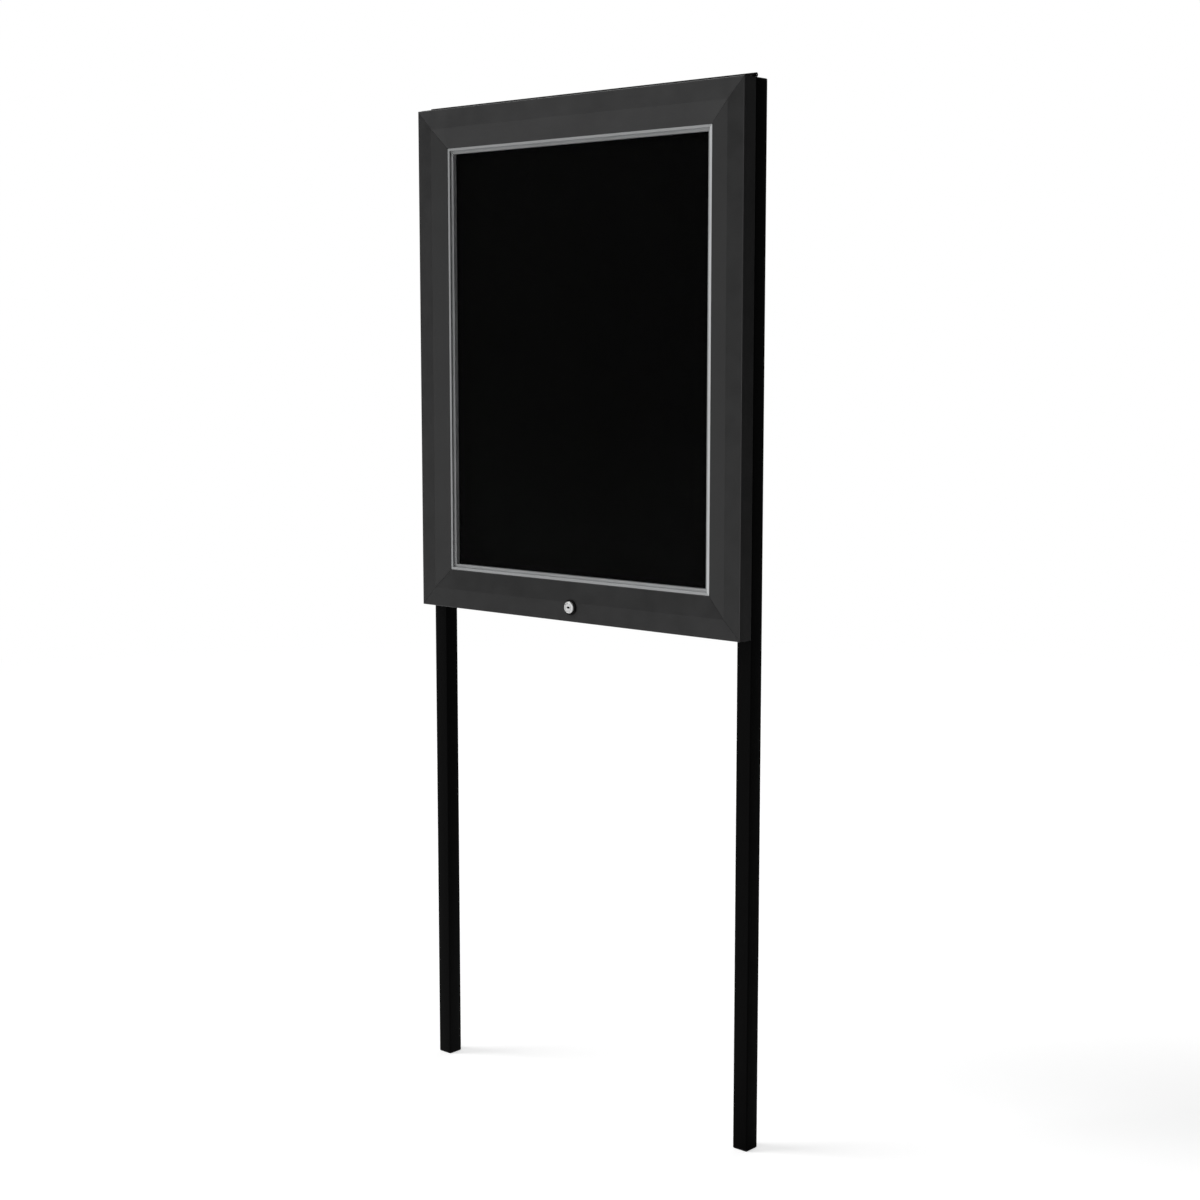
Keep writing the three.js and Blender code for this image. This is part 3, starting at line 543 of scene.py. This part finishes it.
def slotted_disc(mesh_data, centre, radius, slot, heights):
    """Adds a disc that looks along -Y, with a round-ended slot along X right through it."""
    slot_end = slot[1] / 2
    reach = slot[0] / 2 - slot_end
    rings = []
    for height in heights:
        for hole in (False, True):
            ring = []
            for i in range(LOCK_STEPS):
                angle = 2 * math.pi * (i + 0.5) / LOCK_STEPS
                x, z = math.cos(angle), math.sin(angle)
                if hole:
                    x, z = math.copysign(reach, x) + slot_end * x, slot_end * z
                else:
                    x, z = radius * x, radius * z
                ring.append(mesh_data.verts.new((centre.x + x, centre.y - height, centre.z + z)))
            rings.append(ring)
    for a, b in ((0, 1), (1, 3), (3, 2), (2, 0)):
        for i in range(LOCK_STEPS):
            k = (i + 1) % LOCK_STEPS
            mesh_data.faces.new([rings[a][i], rings[a][k], rings[b][k], rings[b][i]])
    bmesh.ops.recalc_face_normals(mesh_data, faces=mesh_data.faces)


def add_lock_details(black, chrome, plastic):
    face = Vector((lock_centre.x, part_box("lock_plug")[0].y, lock_centre.z))
    forward = (0, -1, 0)
    # A black disc under the cover's key slot: painted shade, the dark depth of a keyway
    mesh_data = bmesh.new()
    profile = [(0.0, 0.0), (KEYWAY_SHADE_RADIUS, 0.0), (KEYWAY_SHADE_RADIUS, KEYWAY_SHADE_HEIGHT),
               (0.0, KEYWAY_SHADE_HEIGHT)]
    add_turned(mesh_data, profile, face, forward, LOCK_STEPS)
    piece("lock_keyway_shade", "lock_barrel", mesh_data, black)

    mesh_data = bmesh.new()
    slotted_disc(mesh_data, face, COVER_RADIUS, KEY_SLOT, (KEYWAY_SHADE_HEIGHT, COVER_HEIGHT))
    piece("lock_cover", "lock_barrel", mesh_data, chrome)

    # A black ring in the black plastic over the chrome flange: painted shade beside the lock's
    # raised head
    (inner, outer), (foot, seat, top) = SHADE_RING_SKIRT, SHADE_RING_HEIGHTS
    profile = [(SHADE_RING_BORE, seat), (inner, seat), (inner, foot), (outer, foot),
               (outer, top - SHADE_RING_EDGE), (outer - SHADE_RING_EDGE, top), (SHADE_RING_BORE, top),
               (SHADE_RING_BORE, seat)]
    mesh_data = bmesh.new()
    door_face = Vector((lock_centre.x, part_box("door_bottom_rail")[0].y, lock_centre.z))
    add_turned(mesh_data, profile, door_face, forward, LOCK_STEPS)
    piece("lock_shade_ring", "door", mesh_data, plastic)


# Small fasteners: each head is a pair of its radius and height. A reach is how far the outermost
# hinge screws are from the middle, and a row how far a line of screws is from its plate's edge
SCREW_HEAD = (0.0034, 0.0012)
RIVET_HEAD = (0.0032, 0.0011)
KEEPER_HEAD = (0.0031, 0.0014)
GRUB_HEAD = (0.0024, 0.0008)
SUNK = 0.0002
RIM_SHARE = 0.35
DOME_STEPS = 5
LEAF_THICKNESS = 0.0012
HINGE_SCREWS = 8
DOOR_LEAF_REACH = 0.345
CASE_LEAF_REACH = 0.321
DOOR_LEAF_ROW = 0.009
CASE_LEAF_ROW = 0.008
BRACKET_INSET = 0.009
KEEPER_SPACING = 0.02
KEEPER_ROW = 0.00525
KEEPER_THICKNESS = 0.0015
CLEAT_END = 0.007
CLEAT_ARM = 0.0059


def head_profile(radius, height):
    """A domed head that starts a little below the face it sits on."""
    rim = height * RIM_SHARE
    profile = [(0.0, -SUNK), (radius, -SUNK), (radius, rim)]
    for i in range(1, DOME_STEPS):
        angle = math.pi / 2 * i / DOME_STEPS
        profile.append((radius * math.cos(angle), rim + (height - rim) * math.sin(angle)))
    return profile + [(0.0, height)]


def fasteners(name, body, material, head, axis, places):
    mesh_data = bmesh.new()
    for place in places:
        add_turned(mesh_data, head_profile(*head), Vector(place), axis)
    piece(name, body, mesh_data, material)


def corner_places(node, corner, y, end, arm):
    """Three places on a corner piece: near its corner and near the ends of its two arms."""
    low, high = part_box(node)
    x_arm, x_end = high.x - arm, low.x + end
    if "left" in corner:
        x_arm, x_end = low.x + arm, high.x - end
    z_arm, z_end = high.z - arm, low.z + end
    if "bottom" in corner:
        z_arm, z_end = low.z + arm, high.z - end
    return [(x_arm, y, z_arm), (x_end, y, z_arm), (x_arm, y, z_end)]


def add_fasteners(zinc, black):
    row = [2 * i / (HINGE_SCREWS - 1) - 1 for i in range(HINGE_SCREWS)]
    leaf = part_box("hinge_door_leaf")[0]
    y, z = leaf.y + DOOR_LEAF_ROW, leaf.z + LEAF_THICKNESS
    fasteners("hinge_door_screws", "door", black, SCREW_HEAD, (0, 0, 1),
              [(x * DOOR_LEAF_REACH, y, z) for x in row])
    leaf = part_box("hinge_case_leaf")[0]
    y, z = leaf.y + LEAF_THICKNESS, leaf.z + CASE_LEAF_ROW
    fasteners("hinge_case_screws", "case", black, SCREW_HEAD, (0, 1, 0),
              [(x * CASE_LEAF_REACH, y, z) for x in row])
    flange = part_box("case_top_rail")[1].y
    rivets, grubs = [], []
    for corner in CORNERS:
        bracket = "case_corner_bracket_" + corner
        rivets += corner_places(bracket, corner, flange, BRACKET_INSET, BRACKET_INSET)
        cleat = "door_corner_cleat_" + corner
        grubs += corner_places(cleat, corner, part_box(cleat)[1].y, CLEAT_END, CLEAT_ARM)[1:]
    fasteners("rear_rivets", "case", zinc, RIVET_HEAD, (0, 1, 0), rivets)
    fasteners("cleat_screws", "door", zinc, GRUB_HEAD, (0, 1, 0), grubs)
    low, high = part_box("lock_keeper")
    y, z = low.y + KEEPER_ROW, high.z - KEEPER_THICKNESS
    fasteners("keeper_screws", "case", zinc, KEEPER_HEAD, (0, 0, -1),
              [(sign * KEEPER_SPACING / 2, y, z) for sign in (-1, 1)])


# Studio: a white room wherever the camera looks, two large lamps and a soft sun. Only the light and
# the reflections meet its three dark flags, in front on the left, beyond the right side and
# overhead, and its bright patch on the front left. Each of the four is the direction of its middle,
# the cosines of the angles from there at which it starts and is full, and the share of the light
# that it takes, which is negative for the bright patch
FLAGS = (
    ((-0.6658, -0.7389, 0.1045), 0.94, 0.99, 0.85),
    ((0.94, 0.34, 0.0), 0.15, 0.65, 0.92),
    ((-0.34, -0.37, 0.866), 0.6, 0.77, 0.8),
    ((-0.454, -0.891, 0.0), 0.978, 0.9976, -0.9),
)
ROOM_LIGHT = 0.55
FLOOR_RADIUS = 6.0
FLOOR_STEPS = 96
FLOOR_TONE = 0.8
FLOOR_GLOW = 0.62
FADE_START, FADE_END = FLOOR_RADIUS * 0.55, FLOOR_RADIUS * 0.95
AIM = Vector((0, 0, 1.2))
SOFTBOX_SIZE = (2.4, 2.0)
SOFTBOXES = (
    ("softbox_front", 34.0, (0.1, -4.4, 1.0)),
    ("softbox_back", 18.0, (-1.2, 4.4, 2.0)),
)
SUN_STRENGTH = 1.3
SUN_ANGLE = math.radians(24)
SUN_PLACE = (-3.2, -2.6, 5.0)


def flagged(g, direction, level):
    """level, less the share of it that the flags take in this direction."""
    for toward, start, end, share in FLAGS:
        nearness = g.vector_math("DOT_PRODUCT", "Value", direction, toward)
        level = g.math("MULTIPLY", level, g.spread(nearness, 1.0, 1.0 - share, start, end))
    return level


def seen_directly(g):
    """1 for the camera and for what it sees in and through other surfaces, 0 for other light."""
    path = g.node("ShaderNodeLightPath")
    either = g.math("MAXIMUM", path.outputs["Is Camera Ray"], path.outputs["Is Glossy Ray"])
    return g.math("MAXIMUM", either, path.outputs["Is Transmission Ray"])


def make_room():
    world = bpy.data.worlds.new("studio")
    bpy.context.scene.world = world
    g = Graph(world)
    direction = g.node("ShaderNodeTexCoord").outputs["Generated"]
    camera = g.node("ShaderNodeLightPath").outputs["Is Camera Ray"]
    room = flagged(g, direction, g.spread(seen_directly(g), ROOM_LIGHT, 1.0, 0.0, 1.0))
    strength = g.math("MAXIMUM", room, camera)
    background = g.node("ShaderNodeBackground", {"Color": WHITE, "Strength": strength})
    g.node("ShaderNodeOutputWorld", {"Surface": background.outputs["Background"]})


def make_floor():
    """A round white floor that takes shadows and fades into the room."""
    mesh_data = bmesh.new()
    bmesh.ops.create_circle(mesh_data, cap_ends=True, segments=FLOOR_STEPS, radius=FLOOR_RADIUS)
    paper = bpy.data.materials.new("floor")
    g = Graph(paper)
    place = g.place()
    distance = g.vector_math("LENGTH", "Value", place)
    fade = g.spread(distance, 0.0, 1.0, FADE_START, FADE_END)
    diffuse = g.node("ShaderNodeBsdfDiffuse", {"Color": g.mix(fade, grey(FLOOR_TONE), grey(0.0))})
    level = g.math("MULTIPLY", seen_directly(g), g.spread(fade, FLOOR_GLOW, 1.0, 0.0, 1.0))
    toward = g.vector_math("NORMALIZE", "Vector", place)
    camera = g.node("ShaderNodeLightPath").outputs["Is Camera Ray"]
    level = g.math("MULTIPLY", level, g.math("MAXIMUM", flagged(g, toward, 1.0), camera))
    glow = g.node("ShaderNodeEmission", {"Color": WHITE, "Strength": level})
    both = g.node("ShaderNodeAddShader", {0: diffuse.outputs[0], 1: glow.outputs[0]})
    g.node("ShaderNodeOutputMaterial", {"Surface": both.outputs[0]})
    floor = mesh_object("floor", mesh_data, paper)


def light_from(data, place):
    made = bpy.data.objects.new(data.name, data)
    made.location = place
    made.rotation_euler = (AIM - made.location).to_track_quat("-Z", "Y").to_euler()
    bpy.context.scene.collection.objects.link(made)


def make_lamps():
    for name, energy, place in SOFTBOXES:
        softbox = bpy.data.lights.new(name, "AREA")
        softbox.shape = "RECTANGLE"
        softbox.size, softbox.size_y = SOFTBOX_SIZE
        softbox.energy = energy
        light_from(softbox, place)
    sun = bpy.data.lights.new("sun", "SUN")
    sun.energy = SUN_STRENGTH
    sun.angle = SUN_ANGLE
    light_from(sun, SUN_PLACE)


def main():
    make_camera()
    zinc, black, chrome, plastic = dress_nodes()
    add_bead()
    add_lock_details(black, chrome, plastic)
    add_fasteners(zinc, black)
    make_room()
    make_floor()
    make_lamps()
    view = bpy.context.scene.view_settings
    view.view_transform = "Standard"


main()
